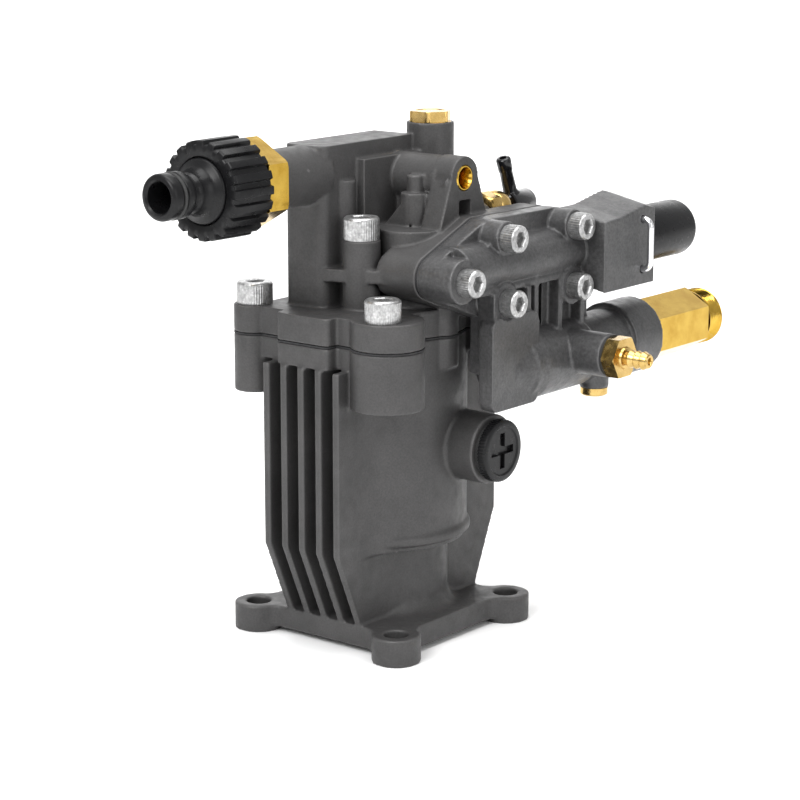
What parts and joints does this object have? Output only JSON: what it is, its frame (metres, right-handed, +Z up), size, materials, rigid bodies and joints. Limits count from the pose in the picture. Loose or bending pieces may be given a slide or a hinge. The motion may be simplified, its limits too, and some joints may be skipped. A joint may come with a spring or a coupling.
{
  "type": "pressure washer pump",
  "caption": "Vertical-shaft axial-piston pressure washer pump with a finned crankcase, head, side manifold, unloader knob and threaded water ports.",
  "frame": {"origin": "centre of the engine flange's bottom face, on the drive shaft's axis", "axes": "+Z up the shaft to the pump head, -Y to the inlet, +Y to the outlet and the knob, +X to the manifold screws and the injector"},
  "size_m": [0.1244, 0.255, 0.188],
  "materials": {
    "casting": "charcoal semi-matt paint over fine-grained die casting",
    "manifold_casting": "charcoal paint over rougher die casting",
    "brass": "machined, polished",
    "pale_brass": "machined, satin",
    "zinc_steel": "zinc plated, slightly mottled",
    "steel": "ground",
    "bright_wire": "bright spring wire",
    "ceramic": "polished white ceramic",
    "rubber": "matt black",
    "gasket": "thin black sheet",
    "black_plastic": "moulded, satin",
    "gloss_plastic": "moulded, glossy",
    "valve_plastic": "moulded acetal"
  },
  "bodies": {
    "housing": {"crankcase": "casting", "oil_plug": "black_plastic", "oil_plug_washer": "rubber", "shaft_oil_seal": "rubber", "piston_guide": "casting", "piston_packings": "rubber", "head_gasket": "gasket", "pump_head": "casting", "head_bolts": "zinc_steel", "valve_cap": "pale_brass", "lug_insert": "brass", "manifold_gasket": "gasket", "manifold": "manifold_casting", "manifold_screws": "zinc_steel", "outlet_fitting": "brass", "drain_plug": "pale_brass", "bearing_outer_race": "steel", "inlet_valve_seats": "valve_plastic", "outlet_valve_seats": "valve_plastic", "injector_barb": "pale_brass", "injector_ring": "rubber", "injector_spring": "bright_wire", "unloader_sleeve": "zinc_steel", "unloader_spring": "bright_wire", "retaining_clip": "bright_wire", "inlet_adapter": "brass", "relief_fitting": "pale_brass", "piston_spring_1": "steel", "inlet_spring_1": "bright_wire", "outlet_spring_1": "bright_wire", "piston_spring_2": "steel", "inlet_spring_2": "bright_wire", "outlet_spring_2": "bright_wire", "piston_spring_3": "steel", "inlet_spring_3": "bright_wire", "outlet_spring_3": "bright_wire"},
    "drive": {"drive_shaft": "steel", "bearing_inner_race": "steel", "thrust_lower_race": "steel"},
    "bearing_cage": {"bearing_balls": "steel"},
    "thrust_cage": {"thrust_balls": "steel"},
    "wobble_plate": {"thrust_upper_race": "steel"},
    "injector_ball": {"injector_ball": "steel"},
    "unloader_stem": {"unloader_stem": "steel"},
    "unloader_adjuster": {"unloader_adjuster": "brass"},
    "unloader_knob": {"unloader_knob": "black_plastic"},
    "inlet_coupling": {"inlet_nipple": "black_plastic", "nipple_ring": "rubber", "inlet_washer": "rubber"},
    "inlet_nut": {"inlet_nut": "black_plastic"},
    "relief_elbow": {"relief_elbow": "gloss_plastic"},
    "piston_1": {"piston_1": "ceramic"},
    "inlet_poppet_1": {"inlet_poppet_1": "valve_plastic"},
    "outlet_poppet_1": {"outlet_poppet_1": "valve_plastic"},
    "piston_2": {"piston_2": "ceramic"},
    "inlet_poppet_2": {"inlet_poppet_2": "valve_plastic"},
    "outlet_poppet_2": {"outlet_poppet_2": "valve_plastic"},
    "piston_3": {"piston_3": "ceramic"},
    "inlet_poppet_3": {"inlet_poppet_3": "valve_plastic"},
    "outlet_poppet_3": {"outlet_poppet_3": "valve_plastic"}
  },
  "joints": [
    {"name": "drive_spin", "type": "hinge", "parent": "housing", "child": "drive", "pos_m": [0, 0, 0.03], "axis": [0, 0, 1], "continuous": true},
    {"name": "bearing_cage_spin", "type": "hinge", "parent": "housing", "child": "bearing_cage", "pos_m": [0, 0, 0.0465], "axis": [0, 0, 1], "continuous": true},
    {"name": "thrust_cage_spin", "type": "hinge", "parent": "drive", "child": "thrust_cage", "pos_m": [0, 0, 0.063], "axis": [0.2079, 0, 0.9781], "continuous": true},
    {"name": "wobble_plate_spin", "type": "hinge", "parent": "drive", "child": "wobble_plate", "pos_m": [0, 0, 0.063], "axis": [0.2079, 0, 0.9781], "continuous": true},
    {"name": "unloader_knob_turn", "type": "hinge", "parent": "housing", "child": "unloader_knob", "pos_m": [0.044, 0.1, 0.1376], "axis": [0, -1, 0], "range_deg": [0, 1080]},
    {"name": "unloader_adjuster_slide", "type": "slide", "parent": "housing", "child": "unloader_adjuster", "axis": [0, -1, 0], "range_m": [0, 0.003], "deforming": ["unloader_spring"]},
    {"name": "unloader_stem_lift", "type": "slide", "parent": "housing", "child": "unloader_stem", "axis": [0, 1, 0], "range_m": [0, 0.002], "stiffness_N_per_m": 500, "springref_m": -0.004, "deforming": ["unloader_spring"]},
    {"name": "injector_ball_lift", "type": "slide", "parent": "housing", "child": "injector_ball", "axis": [-1, 0, 0], "range_m": [0, 0.001], "stiffness_N_per_m": 50, "springref_m": -0.002, "deforming": ["injector_spring"]},
    {"name": "inlet_nut_turn", "type": "hinge", "parent": "inlet_coupling", "child": "inlet_nut", "pos_m": [-0.0105, -0.07, 0.1695], "axis": [0, -1, 0], "range_deg": [0, 1080]},
    {"name": "inlet_coupling_slide", "type": "slide", "parent": "housing", "child": "inlet_coupling", "axis": [0, -1, 0], "range_m": [0, 0.00663]},
    {"name": "relief_elbow_swivel", "type": "hinge", "parent": "housing", "child": "relief_elbow", "pos_m": [0.015, 0.06, 0.1515], "axis": [0, 1, 0], "range_deg": [-45, 45]},
    {"name": "piston_1_stroke", "type": "slide", "parent": "housing", "child": "piston_1", "axis": [0, 0, 1], "range_m": [0, 0.0068], "stiffness_N_per_m": 1000, "springref_m": -0.005, "deforming": ["piston_spring_1"]},
    {"name": "inlet_poppet_1_lift", "type": "slide", "parent": "housing", "child": "inlet_poppet_1", "axis": [0, 0, -1], "range_m": [0, 0.002], "stiffness_N_per_m": 100, "springref_m": -0.004, "deforming": ["inlet_spring_1"]},
    {"name": "outlet_poppet_1_lift", "type": "slide", "parent": "housing", "child": "outlet_poppet_1", "axis": [1, 0, 0], "range_m": [0, 0.002], "stiffness_N_per_m": 100, "springref_m": -0.004, "deforming": ["outlet_spring_1"]},
    {"name": "piston_2_stroke", "type": "slide", "parent": "housing", "child": "piston_2", "axis": [0, 0, 1], "range_m": [0, 0.0068], "stiffness_N_per_m": 1000, "springref_m": -0.005, "deforming": ["piston_spring_2"]},
    {"name": "inlet_poppet_2_lift", "type": "slide", "parent": "housing", "child": "inlet_poppet_2", "axis": [0, 0, -1], "range_m": [0, 0.002], "stiffness_N_per_m": 100, "springref_m": -0.004, "deforming": ["inlet_spring_2"]},
    {"name": "outlet_poppet_2_lift", "type": "slide", "parent": "housing", "child": "outlet_poppet_2", "axis": [1, 0, 0], "range_m": [0, 0.002], "stiffness_N_per_m": 100, "springref_m": -0.004, "deforming": ["outlet_spring_2"]},
    {"name": "piston_3_stroke", "type": "slide", "parent": "housing", "child": "piston_3", "axis": [0, 0, 1], "range_m": [0, 0.0068], "stiffness_N_per_m": 1000, "springref_m": -0.005, "deforming": ["piston_spring_3"]},
    {"name": "inlet_poppet_3_lift", "type": "slide", "parent": "housing", "child": "inlet_poppet_3", "axis": [0, 0, -1], "range_m": [0, 0.002], "stiffness_N_per_m": 100, "springref_m": -0.004, "deforming": ["inlet_spring_3"]},
    {"name": "outlet_poppet_3_lift", "type": "slide", "parent": "housing", "child": "outlet_poppet_3", "axis": [1, 0, 0], "range_m": [0, 0.002], "stiffness_N_per_m": 100, "springref_m": -0.004, "deforming": ["outlet_spring_3"]}
  ],
  "couplings": [
    {"joint": "bearing_cage_spin", "follows": "drive_spin", "ratio": 0.4282},
    {"joint": "thrust_cage_spin", "follows": "drive_spin", "ratio": -0.5},
    {"joint": "wobble_plate_spin", "follows": "drive_spin", "ratio": -1},
    {"joint": "unloader_adjuster_slide", "follows": "unloader_knob_turn", "m_per_rad": 0.00015915},
    {"joint": "inlet_coupling_slide", "follows": "inlet_nut_turn", "m_per_rad": 0.00035157}
  ]
}
